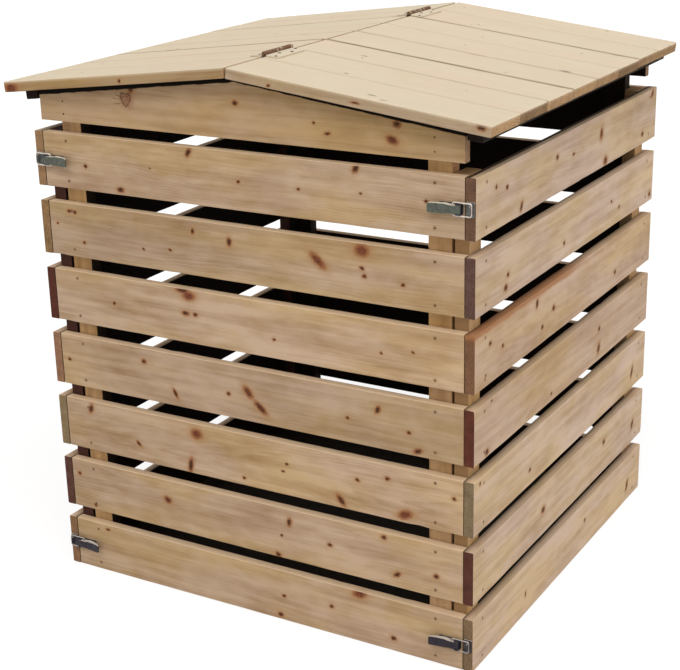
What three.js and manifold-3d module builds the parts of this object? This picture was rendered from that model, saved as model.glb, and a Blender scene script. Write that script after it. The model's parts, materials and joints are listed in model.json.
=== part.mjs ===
// Slatted wooden compost bin with a low pitched roof.
// Four slatted walls stand on the ground. The front wall lifts away once its four
// over-centre toggle latches are thrown, and the right half of the roof is a lid
// that turns on two butt hinges at the ridge.
// Units are millimetres. X runs to the right, Y to the back and Z up. The origin is
// on the ground, below the centre of the whole bin.

import * as THREE from 'three';
import { mergeVertices } from 'three/addons/utils/BufferGeometryUtils.js';
import Module from 'manifold-3d';

const wasm = await Module();
wasm.setup();

// Walls
const BIN_WIDTH = 868;
const BIN_DEPTH = 830;
const SLAT_ROWS = 7;
const SLAT_WIDTH = 100;
const SLAT_THICKNESS = 18;
const SLAT_GAP = 27;
const EASED_EDGE = 1.2;
const BATTEN_THICKNESS = 27;
const BATTEN_WIDTH = 42;
const PANEL_PLAY = 1;
const BATTEN_PLAY = 4;
const SEAT = 0.3;

// Gables and roof
const ROOF_PITCH_DEG = 6.8;
const GABLE_GAP = 20.5;
const GABLE_PEAK = 104.5;
const GABLE_PLAY = 2;
const GABLE_BATTEN_LAP = 38;
const ROOF_THICKNESS = 19;
const ROOF_BOARDS = 8;
const BOARD_JOINT_WIDTH = 3;
const BOARD_JOINT_DEPTH = 5;
const EAVE_OVERHANG = 38;
const FRONT_OVERHANG = 28;
const BACK_OVERHANG = 0;
const RIDGE_GAP = 2;
const LATH_WIDTH = 27;
const LATH_THICKNESS = 18;
const LATH_PLAY = 2;
const RIDGE_LATH_INSET = 18;
const RIDGE_LATH_SETBACK = 12;
const FUSE = 0.5;

// Butt hinges at the ridge
const HINGE_LENGTH = 90;
const HINGE_LEAF = 28;
const HINGE_LEAF_THICKNESS = 2;
const HINGE_CORNER = 3;
const KNUCKLE_RADIUS = 3.5;
const KNUCKLE_COUNT = 5;
const KNUCKLE_GAP = 0.4;
const HINGE_PIN_RADIUS = 1.8;
const PIN_CLEARANCE = 0.35;
const HINGE_FROM_FRONT = 164;
const HINGE_FROM_BACK = 172;
const HINGE_SCREWS = 4;
const HINGE_SCREW_HOLE = 2.3;
const HINGE_SCREW_STAGGER = 9;
const HINGE_SCREW_EDGE = 7;

// Toggle latches
const LATCH_PIVOT_INSET = 8;
const LATCH_PIVOT_HEIGHT = 6.5;
const LATCH_PIN_RADIUS = 1.6;
const BASE_THICKNESS = 1.5;
const BASE_WIDTH = 17;
const BASE_LEAD = 6;
const BASE_TAIL = 36;
const BASE_CORNER = 3;
const EAR_RADIUS = 5;
const EAR_THICKNESS = 1.4;
const LATCH_SCREW_HOLE = 2;
const LATCH_SCREW_EDGE = 6;
const LATCH_SCREW_PITCH = 14;
const LEVER_LENGTH = 50;
const LEVER_GAUGE = 1.4;
const LEVER_NOSE = 4.2;
const LEVER_TIP_LIFT = 4;
const LEVER_SHOULDER = 17;
const LEVER_HANDLE_WIDTH = 16;
const LEVER_TIP_WIDTH = 12;
const LEVER_LIP = 3;
const LOOP_CRANK = 10;
const LOOP_DROP = 0.8;
const LOOP_WIRE_RADIUS = 1.2;
const LOOP_CORNER = 3;
const LOOP_ARM_CLEARANCE = 0.9;
const STRIKE_THICKNESS = 1.5;
const STRIKE_HEIGHT = 24;
const STRIKE_MARGIN = 1.6;
const STRIKE_HOOK_WIDTH = 13;
const STRIKE_HOOK_RISE = 9;
const STRIKE_HOOK_LEAN = 1;
const STRIKE_HOOK_FROM_JOINT = 9;
const STRIKE_SCREW_HOLE = 1.8;

// Facets and cuts
const ROUND_SIDES = 16;
const WIRE_SIDES = 8;
const CORNER_STEPS = 4;
const CUT_OVERRUN = 2;

// Places worked out from the sizes above
const roofPitch = THREE.MathUtils.degToRad(ROOF_PITCH_DEG);
const wallInnerX = BIN_WIDTH / 2 - SLAT_THICKNESS;
const wallFrontY = -BIN_DEPTH / 2;
const wallBackY = BIN_DEPTH / 2;
const slatPitch = SLAT_WIDTH + SLAT_GAP;
const wallHeight = SLAT_ROWS * SLAT_WIDTH + (SLAT_ROWS - 1) * SLAT_GAP;
const gableBottomZ = wallHeight + GABLE_GAP;
const ridgeUnderZ = gableBottomZ + GABLE_PEAK + SEAT / Math.cos(roofPitch);
const roofFrontY = wallFrontY - FRONT_OVERHANG;
const roofBackY = wallBackY + BACK_OVERHANG;
const wallCentreY = (FRONT_OVERHANG - BACK_OVERHANG) / 2;

const softwood = new THREE.MeshStandardMaterial({ color: 0xc9a67c, roughness: 0.75, metalness: 0 });
const sideWood = new THREE.MeshStandardMaterial({ color: 0xc3a585, roughness: 0.75, metalness: 0 });
const battenWood = new THREE.MeshStandardMaterial({ color: 0xa98a66, roughness: 0.8, metalness: 0 });
const roofWood = new THREE.MeshStandardMaterial({ color: 0xe0d3b6, roughness: 0.7, metalness: 0 });
const zinc = new THREE.MeshStandardMaterial({ color: 0xa9adac, roughness: 0.35, metalness: 0.9 });
const wire = new THREE.MeshStandardMaterial({ color: 0xc4c6c4, roughness: 0.3, metalness: 0.95 });

const bin = new THREE.Group();
bin.position.y = wallCentreY;

function addPiece(name, geometry, material, parent = bin) {
  const mesh = new THREE.Mesh(geometry, material);
  mesh.name = name;
  parent.add(mesh);
  return mesh;
}

// Solids for joining and cutting

function toSolid(geometry) {
  const bare = geometry.clone();
  bare.deleteAttribute('normal');
  bare.deleteAttribute('uv');
  const merged = mergeVertices(bare);
  return new wasm.Manifold(new wasm.Mesh({
    numProp: 3,
    vertProperties: new Float32Array(merged.attributes.position.array),
    triVerts: new Uint32Array(merged.index.array),
  }));
}

function toGeometry(solid) {
  const mesh = solid.getMesh();
  const geometry = new THREE.BufferGeometry();
  geometry.setAttribute('position', new THREE.BufferAttribute(mesh.vertProperties, 3));
  geometry.setIndex(new THREE.BufferAttribute(mesh.triVerts, 1));
  geometry.computeVertexNormals();
  return geometry;
}

function joined(geometries) {
  return geometries.map(toSolid).reduce((sum, solid) => sum.add(solid));
}

function cutBy(solid, geometries) {
  return geometries.map(toSolid).reduce((rest, tool) => rest.subtract(tool), solid);
}

// Outlines and simple forms

function easedRectangle(width, height, ease) {
  const halfWidth = width / 2;
  const halfHeight = height / 2;
  const outline = new THREE.Shape();
  outline.moveTo(-halfWidth + ease, -halfHeight);
  outline.lineTo(halfWidth - ease, -halfHeight);
  outline.lineTo(halfWidth, -halfHeight + ease);
  outline.lineTo(halfWidth, halfHeight - ease);
  outline.lineTo(halfWidth - ease, halfHeight);
  outline.lineTo(-halfWidth + ease, halfHeight);
  outline.lineTo(-halfWidth, halfHeight - ease);
  outline.lineTo(-halfWidth, -halfHeight + ease);
  outline.closePath();
  return outline;
}

// A plate outline from x0 to x1, y0 to y1, with rounded corners.
function roundedPlate(x0, x1, y0, y1, radius) {
  const outline = new THREE.Shape();
  outline.moveTo(x0 + radius, y0);
  outline.lineTo(x1 - radius, y0);
  outline.absarc(x1 - radius, y0 + radius, radius, -Math.PI / 2, 0, false);
  outline.lineTo(x1, y1 - radius);
  outline.absarc(x1 - radius, y1 - radius, radius, 0, Math.PI / 2, false);
  outline.lineTo(x0 + radius, y1);
  outline.absarc(x0 + radius, y1 - radius, radius, Math.PI / 2, Math.PI, false);
  outline.lineTo(x0, y0 + radius);
  outline.absarc(x0 + radius, y0 + radius, radius, Math.PI, Math.PI * 3 / 2, false);
  return outline;
}

function extruded(outline, depth) {
  return new THREE.ExtrudeGeometry(outline, { depth, bevelEnabled: false, curveSegments: CORNER_STEPS });
}

function block(x0, x1, y0, y1, z0, z1) {
  const geometry = new THREE.BoxGeometry(x1 - x0, y1 - y0, z1 - z0);
  return geometry.translate((x0 + x1) / 2, (y0 + y1) / 2, (z0 + z1) / 2);
}

// A round bar whose axis runs along Y from y0 to y1.
function barAlongY(radius, y0, y1) {
  const geometry = new THREE.CylinderGeometry(radius, radius, y1 - y0, ROUND_SIDES);
  return geometry.translate(0, (y0 + y1) / 2, 0);
}

// A round bar whose axis runs along Z from z0 to z1, centred on x and y.
function barAlongZ(radius, z0, z1, x, y) {
  const geometry = new THREE.CylinderGeometry(radius, radius, z1 - z0, ROUND_SIDES);
  return geometry.rotateX(Math.PI / 2).translate(x, y, (z0 + z1) / 2);
}

// Timber: a board with eased long edges, its length along X, thickness along Y and
// width along Z, centred on the origin.
function boardAlongX(length, thickness, width) {
  const geometry = extruded(easedRectangle(thickness, width, EASED_EDGE), length);
  geometry.translate(0, 0, -length / 2);
  return geometry.rotateX(Math.PI / 2).rotateZ(Math.PI / 2);
}

function boardAlongY(length, thickness, width) {
  return boardAlongX(length, thickness, width).rotateZ(Math.PI / 2);
}

function postAlongZ(sizeX, sizeY, height) {
  const geometry = extruded(easedRectangle(sizeX, sizeY, EASED_EDGE), height);
  return geometry.translate(0, 0, -height / 2);
}

function rowZ(row) {
  return wallHeight - SLAT_WIDTH / 2 - row * slatPitch;
}

// A side wall: slats the full depth of the bin on two posts set inside them. The
// posts stand back from the ends by a slat, so the front and back slats lap over them.
const postFromEnd = SLAT_THICKNESS + SEAT;

function addSideWall(side, sign) {
  const slatX = sign * (BIN_WIDTH / 2 - SLAT_THICKNESS / 2);
  for (let row = 0; row < SLAT_ROWS; row += 1) {
    const slat = addPiece(`${side}_slat_${row + 1}`,
      boardAlongY(BIN_DEPTH, SLAT_THICKNESS, SLAT_WIDTH), sideWood);
    slat.position.set(slatX, 0, rowZ(row));
  }
  const postX = sign * (wallInnerX - SEAT - BATTEN_THICKNESS / 2);
  const postY = BIN_DEPTH / 2 - postFromEnd - BATTEN_WIDTH / 2;
  for (const [end, endSign] of [['front', -1], ['back', 1]]) {
    const post = addPiece(`${side}_batten_${end}`,
      postAlongZ(BATTEN_THICKNESS, BATTEN_WIDTH, wallHeight), battenWood);
    post.position.set(postX, endSign * postY, wallHeight / 2);
  }
}

// An end wall: slats and a gable board between the side walls, nailed to two
// battens that reach up behind the gable. The front one has play at its ends, and
// under the roof too, so that it comes away while the lid is shut.
const gableBattenX = wallInnerX - SEAT - BATTEN_THICKNESS - BATTEN_PLAY - BATTEN_WIDTH / 2;

function gableOutline(halfLength, peak) {
  const endHeight = peak - halfLength * Math.tan(roofPitch);
  const outline = new THREE.Shape();
  outline.moveTo(-halfLength, 0);
  outline.lineTo(halfLength, 0);
  outline.lineTo(halfLength, endHeight);
  outline.lineTo(0, peak);
  outline.lineTo(-halfLength, endHeight);
  outline.closePath();
  return outline;
}

function addEndWall(end, sign, endPlay, topPlay) {
  const halfLength = wallInnerX - endPlay;
  const slatY = sign * (BIN_DEPTH / 2 - SLAT_THICKNESS / 2);
  for (let row = 0; row < SLAT_ROWS; row += 1) {
    const slat = addPiece(`${end}_slat_${row + 1}`,
      boardAlongX(2 * halfLength, SLAT_THICKNESS, SLAT_WIDTH), softwood);
    slat.position.set(0, slatY, rowZ(row));
  }
  const gable = extruded(gableOutline(halfLength, GABLE_PEAK - topPlay), SLAT_THICKNESS);
  gable.translate(0, 0, -SLAT_THICKNESS / 2).rotateX(Math.PI / 2);
  addPiece(`${end}_gable`, gable, softwood).position.set(0, slatY, gableBottomZ);

  const battenHeight = gableBottomZ + GABLE_BATTEN_LAP;
  const battenY = sign * (BIN_DEPTH / 2 - SLAT_THICKNESS - SEAT - BATTEN_THICKNESS / 2);
  for (const [side, sideSign] of [['left', -1], ['right', 1]]) {
    const batten = addPiece(`${end}_batten_${side}`,
      postAlongZ(BATTEN_WIDTH, BATTEN_THICKNESS, battenHeight), battenWood);
    batten.position.set(sideSign * gableBattenX, battenY, battenHeight / 2);
  }
}

// A roof half in its own frame: X runs down the slope from the ridge, Z is square
// to the boards, and the boards' underside lies at Z 0. The boards butt with a narrow
// groove between each two, and two laths underneath carry them: one outboard of the
// gables at the eave, and one between the gables near the ridge.
const boardCover = (roofBackY - roofFrontY) / ROOF_BOARDS;
const slopeStart = RIDGE_GAP / 2 / Math.cos(roofPitch);
const eaveUnderX = BIN_WIDTH / 2 + EAVE_OVERHANG - ROOF_THICKNESS * Math.sin(roofPitch);
const slopeEnd = eaveUnderX / Math.cos(roofPitch);

function deckOutline() {
  const outline = new THREE.Shape();
  const grooveFloor = ROOF_THICKNESS - BOARD_JOINT_DEPTH;
  outline.moveTo(roofFrontY, 0);
  outline.lineTo(roofBackY, 0);
  outline.lineTo(roofBackY, ROOF_THICKNESS);
  for (let board = ROOF_BOARDS - 1; board > 0; board -= 1) {
    const jointY = roofFrontY + board * boardCover;
    outline.lineTo(jointY + BOARD_JOINT_WIDTH / 2, ROOF_THICKNESS);
    outline.lineTo(jointY, grooveFloor);
    outline.lineTo(jointY - BOARD_JOINT_WIDTH / 2, ROOF_THICKNESS);
  }
  outline.lineTo(roofFrontY, ROOF_THICKNESS);
  outline.closePath();
  return outline;
}

function roofHalf() {
  const deck = extruded(deckOutline(), slopeEnd - slopeStart);
  deck.rotateX(Math.PI / 2).rotateZ(Math.PI / 2).translate(slopeStart, 0, 0);

  const lathDrop = LATH_THICKNESS * Math.tan(roofPitch);
  const eaveLathX = (wallInnerX + LATH_PLAY) / Math.cos(roofPitch) + lathDrop;
  const eaveLath = block(eaveLathX, eaveLathX + LATH_WIDTH,
    wallFrontY, wallBackY, -LATH_THICKNESS, FUSE);

  const ridgeLathY = BIN_DEPTH / 2 - SLAT_THICKNESS - BATTEN_THICKNESS - RIDGE_LATH_SETBACK;
  const ridgeLath = block(RIDGE_LATH_INSET, RIDGE_LATH_INSET + LATH_WIDTH,
    -ridgeLathY, ridgeLathY, -LATH_THICKNESS, FUSE);
  return joined([deck, eaveLath, ridgeLath]);
}

function addRoofHalf(name, sign) {
  const solid = roofHalf();
  const half = addPiece(name, toGeometry(sign > 0 ? solid : solid.mirror([1, 0, 0])), roofWood);
  half.position.z = ridgeUnderZ;
  half.rotation.y = sign * roofPitch;
  return half;
}

// A butt hinge leaf in its own frame: the pin's axis is Y through the origin, and the
// leaf runs out along X, its underside a knuckle radius below the axis. The fixed leaf
// has the outer and middle knuckles and carries the pin, the lid's leaf has the others.
const hingeAxisZ = ridgeUnderZ + (ROOF_THICKNESS + SEAT + KNUCKLE_RADIUS) / Math.cos(roofPitch);
const knuckleLength = HINGE_LENGTH / KNUCKLE_COUNT;

function hingeLeaf(firstKnuckle, hasPin) {
  const halfLength = HINGE_LENGTH / 2;
  const leafTop = -KNUCKLE_RADIUS + HINGE_LEAF_THICKNESS;
  const rootX = KNUCKLE_RADIUS + KNUCKLE_GAP;
  const plate = extruded(
    roundedPlate(rootX, HINGE_LEAF, -halfLength, halfLength, HINGE_CORNER), HINGE_LEAF_THICKNESS);
  plate.translate(0, 0, -KNUCKLE_RADIUS);
  const parts = [plate];
  for (let knuckle = firstKnuckle; knuckle < KNUCKLE_COUNT; knuckle += 2) {
    const y0 = -halfLength + knuckle * knuckleLength + KNUCKLE_GAP / 2;
    const y1 = y0 + knuckleLength - KNUCKLE_GAP;
    parts.push(barAlongY(KNUCKLE_RADIUS, y0, y1));
    parts.push(block(0, rootX + HINGE_CORNER, y0, y1, -KNUCKLE_RADIUS, leafTop));
  }
  if (hasPin) parts.push(barAlongY(HINGE_PIN_RADIUS, -halfLength, halfLength));

  const cuts = [];
  if (!hasPin) {
    cuts.push(barAlongY(HINGE_PIN_RADIUS + PIN_CLEARANCE, -halfLength, halfLength));
  }
  const screwSpan = (HINGE_LENGTH - 2 * HINGE_SCREW_EDGE) / (HINGE_SCREWS - 1);
  for (let screw = 0; screw < HINGE_SCREWS; screw += 1) {
    const rowX = HINGE_LEAF - HINGE_SCREW_EDGE - (screw % 2) * HINGE_SCREW_STAGGER;
    const y = -halfLength + HINGE_SCREW_EDGE + screw * screwSpan;
    cuts.push(barAlongZ(HINGE_SCREW_HOLE, -KNUCKLE_RADIUS - CUT_OVERRUN, leafTop + CUT_OVERRUN, rowX, y));
  }
  return cutBy(joined(parts), cuts);
}

function addHinge(place, y) {
  const fixedLeaf = addPiece(`hinge_${place}_fixed_leaf`, toGeometry(hingeLeaf(0, true)), zinc);
  fixedLeaf.rotation.set(0, -roofPitch, Math.PI);
  const lidLeaf = addPiece(`hinge_${place}_lid_leaf`, toGeometry(hingeLeaf(1, false)), zinc);
  lidLeaf.rotation.y = roofPitch;
  for (const leaf of [fixedLeaf, lidLeaf]) leaf.position.set(0, y, hingeAxisZ);
}

// A toggle latch in its own frame: the origin is on the wood under the lever's pivot,
// X runs inboard along the closed lever, Y out from the wood and Z along the pivot.
const earInner = BASE_WIDTH / 2 - EAR_THICKNESS;
const cheekOuter = earInner - PIN_CLEARANCE;
const loopPivotX = LOOP_CRANK;
const loopPivotY = LATCH_PIVOT_HEIGHT - LOOP_DROP;
const loopArmZ = BASE_WIDTH / 2 + LOOP_ARM_CLEARANCE + LOOP_WIRE_RADIUS;
const latchPivotX = wallInnerX - PANEL_PLAY - LATCH_PIVOT_INSET;
const hookFaceX = wallInnerX + STRIKE_HOOK_FROM_JOINT;
const loopBarX = latchPivotX - hookFaceX - STRIKE_THICKNESS - STRIKE_HOOK_LEAN - SEAT - LOOP_WIRE_RADIUS;

function plateOnWood(x0, x1, halfWidth, thickness, corner) {
  const plate = extruded(roundedPlate(x0, x1, -halfWidth, halfWidth, corner), thickness);
  return plate.rotateX(-Math.PI / 2).translate(0, SEAT, 0);
}

function screwCut(radius, x, z) {
  const geometry = new THREE.CylinderGeometry(radius, radius, BASE_WIDTH, ROUND_SIDES);
  return geometry.translate(x, 0, z);
}

function earOutline() {
  const outline = new THREE.Shape();
  outline.moveTo(-EAR_RADIUS, SEAT);
  outline.lineTo(EAR_RADIUS, SEAT);
  outline.lineTo(EAR_RADIUS, LATCH_PIVOT_HEIGHT);
  outline.absarc(0, LATCH_PIVOT_HEIGHT, EAR_RADIUS, 0, Math.PI, false);
  outline.closePath();
  return outline;
}

function latchBase() {
  const parts = [plateOnWood(-BASE_LEAD, BASE_TAIL, BASE_WIDTH / 2, BASE_THICKNESS, BASE_CORNER)];
  for (const z of [-BASE_WIDTH / 2, earInner]) {
    parts.push(extruded(earOutline(), EAR_THICKNESS).translate(0, 0, z));
  }
  parts.push(barAlongZ(LATCH_PIN_RADIUS, -BASE_WIDTH / 2, BASE_WIDTH / 2, 0, LATCH_PIVOT_HEIGHT));
  const lastScrew = BASE_TAIL - LATCH_SCREW_EDGE;
  return cutBy(joined(parts), [
    screwCut(LATCH_SCREW_HOLE, lastScrew, 0),
    screwCut(LATCH_SCREW_HOLE, lastScrew - LATCH_SCREW_PITCH, 0),
  ]);
}

// The lever's side outline: a nose round the pivot, cheeks that run out at the
// shoulder, and a handle that lifts off the wood towards its tip.
function leverSideOutline() {
  const topY = LATCH_PIVOT_HEIGHT + LEVER_NOSE;
  const cheekY = LATCH_PIVOT_HEIGHT - LEVER_NOSE;
  const outline = new THREE.Shape();
  outline.moveTo(0, cheekY);
  outline.lineTo(LEVER_SHOULDER, cheekY);
  outline.quadraticCurveTo(
    (LEVER_SHOULDER + LEVER_LENGTH) / 2, cheekY,
    LEVER_LENGTH, topY + LEVER_TIP_LIFT - LEVER_LIP);
  outline.lineTo(LEVER_LENGTH, topY + LEVER_TIP_LIFT);
  outline.quadraticCurveTo((LEVER_SHOULDER + LEVER_LENGTH) / 2, topY, LEVER_SHOULDER, topY);
  outline.lineTo(0, topY);
  outline.absarc(0, LATCH_PIVOT_HEIGHT, LEVER_NOSE, Math.PI / 2, Math.PI * 3 / 2, false);
  return outline;
}

function leverPlanOutline() {
  const half = LEVER_HANDLE_WIDTH / 2;
  const tipHalf = LEVER_TIP_WIDTH / 2;
  const outline = new THREE.Shape();
  outline.moveTo(-LEVER_NOSE, -cheekOuter);
  outline.lineTo(LOOP_CRANK + EAR_RADIUS, -cheekOuter);
  outline.lineTo(LEVER_SHOULDER + EAR_RADIUS, -half);
  outline.lineTo(LEVER_LENGTH - EAR_RADIUS, -half);
  outline.quadraticCurveTo(LEVER_LENGTH, -half, LEVER_LENGTH, -tipHalf);
  outline.lineTo(LEVER_LENGTH, tipHalf);
  outline.quadraticCurveTo(LEVER_LENGTH, half, LEVER_LENGTH - EAR_RADIUS, half);
  outline.lineTo(LEVER_SHOULDER + EAR_RADIUS, half);
  outline.lineTo(LOOP_CRANK + EAR_RADIUS, cheekOuter);
  outline.lineTo(-LEVER_NOSE, cheekOuter);
  outline.closePath();
  return outline;
}

// The same plan, drawn in by the metal's gauge, is the channel under the lever.
function insetPlan(outline) {
  const shrink = (LEVER_LENGTH - 2 * LEVER_GAUGE) / LEVER_LENGTH;
  const widthShrink = (LEVER_HANDLE_WIDTH / 2 - LEVER_GAUGE) / (LEVER_HANDLE_WIDTH / 2);
  const geometry = extruded(outline, LEVER_LENGTH);
  return geometry.scale(shrink, widthShrink, 1).translate(LEVER_GAUGE, 0, 0);
}

function latchLever() {
  const side = extruded(leverSideOutline(), LEVER_HANDLE_WIDTH);
  side.translate(0, 0, -LEVER_HANDLE_WIDTH / 2);
  const plan = extruded(leverPlanOutline(), LEVER_LENGTH);
  plan.rotateX(Math.PI / 2).translate(0, LEVER_LENGTH / 2, 0);
  const body = toSolid(side).intersect(toSolid(plan));

  const hollowSide = extruded(leverSideOutline(), LEVER_HANDLE_WIDTH);
  hollowSide.translate(0, -LEVER_GAUGE, -LEVER_HANDLE_WIDTH / 2);
  const hollowPlan = insetPlan(leverPlanOutline());
  hollowPlan.rotateX(Math.PI / 2).translate(0, LEVER_LENGTH / 2, 0);
  const hollow = toSolid(hollowSide).intersect(toSolid(hollowPlan));
  const pinHole = LATCH_PIN_RADIUS + PIN_CLEARANCE;
  const loopHole = LOOP_WIRE_RADIUS + PIN_CLEARANCE;
  return cutBy(body.subtract(hollow), [
    barAlongZ(pinHole, -BASE_WIDTH, BASE_WIDTH, 0, LATCH_PIVOT_HEIGHT),
    barAlongZ(loopHole, -BASE_WIDTH, BASE_WIDTH, loopPivotX, loopPivotY),
  ]);
}

// The wire loop: one bar through the lever's cheeks, two arms outside the ears and
// one bar behind the strike's hook. It is a round wire swept round a closed path.
// The path's last point falls on its first, so it is dropped.
function latchLoop() {
  const path = roundedPlate(loopBarX, loopPivotX, -loopArmZ, loopArmZ, LOOP_CORNER);
  const points = path.getPoints(CORNER_STEPS).slice(0, -1);
  const vertices = [];
  const indices = [];
  const count = points.length;
  for (let at = 0; at < count; at += 1) {
    const before = points[(at + count - 1) % count];
    const after = points[(at + 1) % count];
    const here = points[at];
    const incoming = here.clone().sub(before).normalize();
    const outgoing = after.clone().sub(here).normalize();
    const tangent = incoming.clone().add(outgoing).normalize();
    const mitre = 1 / incoming.dot(tangent);
    for (let side = 0; side < WIRE_SIDES; side += 1) {
      const angle = (side + 1 / 2) / WIRE_SIDES * Math.PI * 2;
      const across = Math.cos(angle) * LOOP_WIRE_RADIUS * mitre;
      vertices.push(
        here.x + tangent.y * across,
        loopPivotY + Math.sin(angle) * LOOP_WIRE_RADIUS,
        here.y - tangent.x * across);
    }
  }
  for (let at = 0; at < count; at += 1) {
    const next = (at + 1) % count;
    for (let side = 0; side < WIRE_SIDES; side += 1) {
      const turn = (side + 1) % WIRE_SIDES;
      const a = at * WIRE_SIDES + side;
      const b = at * WIRE_SIDES + turn;
      const c = next * WIRE_SIDES + turn;
      const d = next * WIRE_SIDES + side;
      indices.push(a, b, c, a, c, d);
    }
  }
  const geometry = new THREE.BufferGeometry();
  geometry.setAttribute('position', new THREE.Float32BufferAttribute(vertices, 3));
  geometry.setIndex(indices);
  geometry.computeVertexNormals();
  return geometry;
}

// The strike: a plate on the side slat's end grain with a folded hook that leans
// outboard over the loop's bar.
function latchStrike() {
  const plateIn = latchPivotX - wallInnerX - STRIKE_MARGIN;
  const plateOut = latchPivotX - BIN_WIDTH / 2 + STRIKE_MARGIN;
  const plate = plateOnWood(plateOut, plateIn, STRIKE_HEIGHT / 2, STRIKE_THICKNESS, STRIKE_MARGIN);
  const hookX = latchPivotX - hookFaceX;
  const hook = new THREE.Shape();
  hook.moveTo(hookX, SEAT);
  hook.lineTo(hookX - STRIKE_HOOK_LEAN, STRIKE_HOOK_RISE);
  hook.lineTo(hookX - STRIKE_HOOK_LEAN - STRIKE_THICKNESS, STRIKE_HOOK_RISE);
  hook.lineTo(hookX - STRIKE_THICKNESS, SEAT);
  hook.closePath();
  const upstand = extruded(hook, STRIKE_HOOK_WIDTH).translate(0, 0, -STRIKE_HOOK_WIDTH / 2);
  const screwZ = STRIKE_HEIGHT / 2 - STRIKE_SCREW_HOLE - STRIKE_MARGIN;
  const screwX = (plateIn + plateOut) / 2;
  return cutBy(joined([plate, upstand]), [
    screwCut(STRIKE_SCREW_HOLE, screwX, screwZ),
    screwCut(STRIKE_SCREW_HOLE, screwX, -screwZ),
  ]);
}

// Latches sit on the top and bottom front slats at both ends. Half a turn about X on
// the left, and about Z on the right, points a latch's X inboard and its Y out.
function addLatch(level, row, side, sign) {
  const group = new THREE.Group();
  group.position.set(sign * latchPivotX, wallFrontY, rowZ(row));
  if (sign < 0) group.rotation.x = Math.PI;
  else group.rotation.z = Math.PI;
  bin.add(group);
  const name = `latch_${level}_${side}`;
  addPiece(`${name}_base`, toGeometry(latchBase()), zinc, group);
  addPiece(`${name}_lever`, toGeometry(latchLever()), zinc, group);
  addPiece(`${name}_loop`, latchLoop(), wire, group);
  addPiece(`${name}_strike`, toGeometry(latchStrike()), zinc, group);
}

addSideWall('left', -1);
addSideWall('right', 1);
addEndWall('back', 1, SEAT, 0);
addEndWall('front', -1, PANEL_PLAY, GABLE_PLAY);
addRoofHalf('roof_half_fixed', -1);
addRoofHalf('roof_half_lid', 1);
addHinge('front', roofFrontY + HINGE_FROM_FRONT);
addHinge('back', roofBackY - HINGE_FROM_BACK);
for (const [level, row] of [['top', 0], ['bottom', SLAT_ROWS - 1]]) {
  addLatch(level, row, 'left', -1);
  addLatch(level, row, 'right', 1);
}

export default bin;
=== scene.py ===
"""Looks of a slatted softwood compost bin with a low gabled roof.

Every timber is rebuilt over its CAD node as a board with rounded arrises, worn edges,
grain, knots and end grain. The roof halves become eight boards and two laths each.
The metal fittings are the CAD shapes with softened edges.
"""

import json
import math
import random

import bmesh
import bpy
from mathutils import Matrix, Quaternion, Vector, noise


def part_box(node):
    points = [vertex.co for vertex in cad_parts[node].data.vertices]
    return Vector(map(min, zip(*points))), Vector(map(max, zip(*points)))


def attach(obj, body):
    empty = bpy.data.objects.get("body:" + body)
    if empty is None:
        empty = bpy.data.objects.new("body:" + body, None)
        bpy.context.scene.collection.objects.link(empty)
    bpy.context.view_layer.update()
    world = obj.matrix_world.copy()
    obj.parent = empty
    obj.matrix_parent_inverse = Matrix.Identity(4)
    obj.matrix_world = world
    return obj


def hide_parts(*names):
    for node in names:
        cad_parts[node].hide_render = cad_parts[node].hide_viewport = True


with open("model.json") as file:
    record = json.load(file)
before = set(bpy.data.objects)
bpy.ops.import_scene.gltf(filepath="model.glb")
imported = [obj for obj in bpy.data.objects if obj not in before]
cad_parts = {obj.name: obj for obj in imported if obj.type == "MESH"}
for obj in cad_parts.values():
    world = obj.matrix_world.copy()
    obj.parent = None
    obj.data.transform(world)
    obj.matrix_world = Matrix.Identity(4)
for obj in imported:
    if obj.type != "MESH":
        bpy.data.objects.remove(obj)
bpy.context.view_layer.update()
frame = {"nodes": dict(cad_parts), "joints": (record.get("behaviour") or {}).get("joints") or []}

MM = 0.001
SEED = 7

# The board meshes, in millimetres
SKIN = 0.12
ARRIS_RADIUS = 1.5
ARRIS_STEPS = 3
END_ROUND = 0.5
END_STEPS = 3
ROOF_END_ROUND = 2.2
FACE_STEP = 12.0
STATION_STEP = 20.0
EDGE_WANDER = 0.6
FACE_WANDER = 0.2
NICK_DEPTH = 1.4
NICK_LENGTH = 7.0
SHARP_ANGLE = math.radians(50)

# Roof, nails and screws, in millimetres
ROOF_THICKNESS = 19.0
ROOF_BOARDS = 8
ROOF_JOINTS = (1.0, 1.6, 3.6, 1.6, 1.0, 2.8, 1.0)
SEAM_STAINS = (0.0, 0.2, 0.3, 1.0, 0.4, 0.2, 0.75, 0.2, 0.0)
SEAM_REACH = 6.5
LATH_THICKNESS = 18.0
LATH_WIDTH = 27.0
NAIL_SPREAD = 36.0
GABLE_NAIL_RISE = 14.0
GABLE_NAIL_STEP = 22.4
# Heads: radius, height of the dome, and how far its top stands over the face
NAIL_HEAD = (2.2, 0.5, -0.05)
HINGE_SCREW = (3.3, 1.4, 0.9)
STRIKE_SCREW = (1.7, 0.6, 0.3)
HEAD_SIDES = 14
HINGE_SCREWS = 4
HINGE_SCREW_EDGE = 7.0
HINGE_SCREW_STAGGER = 9.0
HINGE_LEAF_WIDTH = 28.0
HINGE_LEAF_THICKNESS = 2.0
KNUCKLE_RADIUS = 3.5
STRIKE_THICKNESS = 1.5
STRIKE_SCREW_INSET = 3.4
METAL_BEVEL = 0.3
WIRE_RADIUS = 1.2
WIRE_SIDES = 16
LOOP_CORNER = 3.0
LOOP_CORNER_STEPS = 6

# Camera in metres, degrees and mm: a fit to the slat corners of the photograph
CAMERA_PLACE = (1.3812, -2.4306, 1.4098)
CAMERA_AZIMUTH = 30.44
CAMERA_ELEVATION = 19.59
CAMERA_ROLL = -1.38
CAMERA_LENS = 80.03

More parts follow.
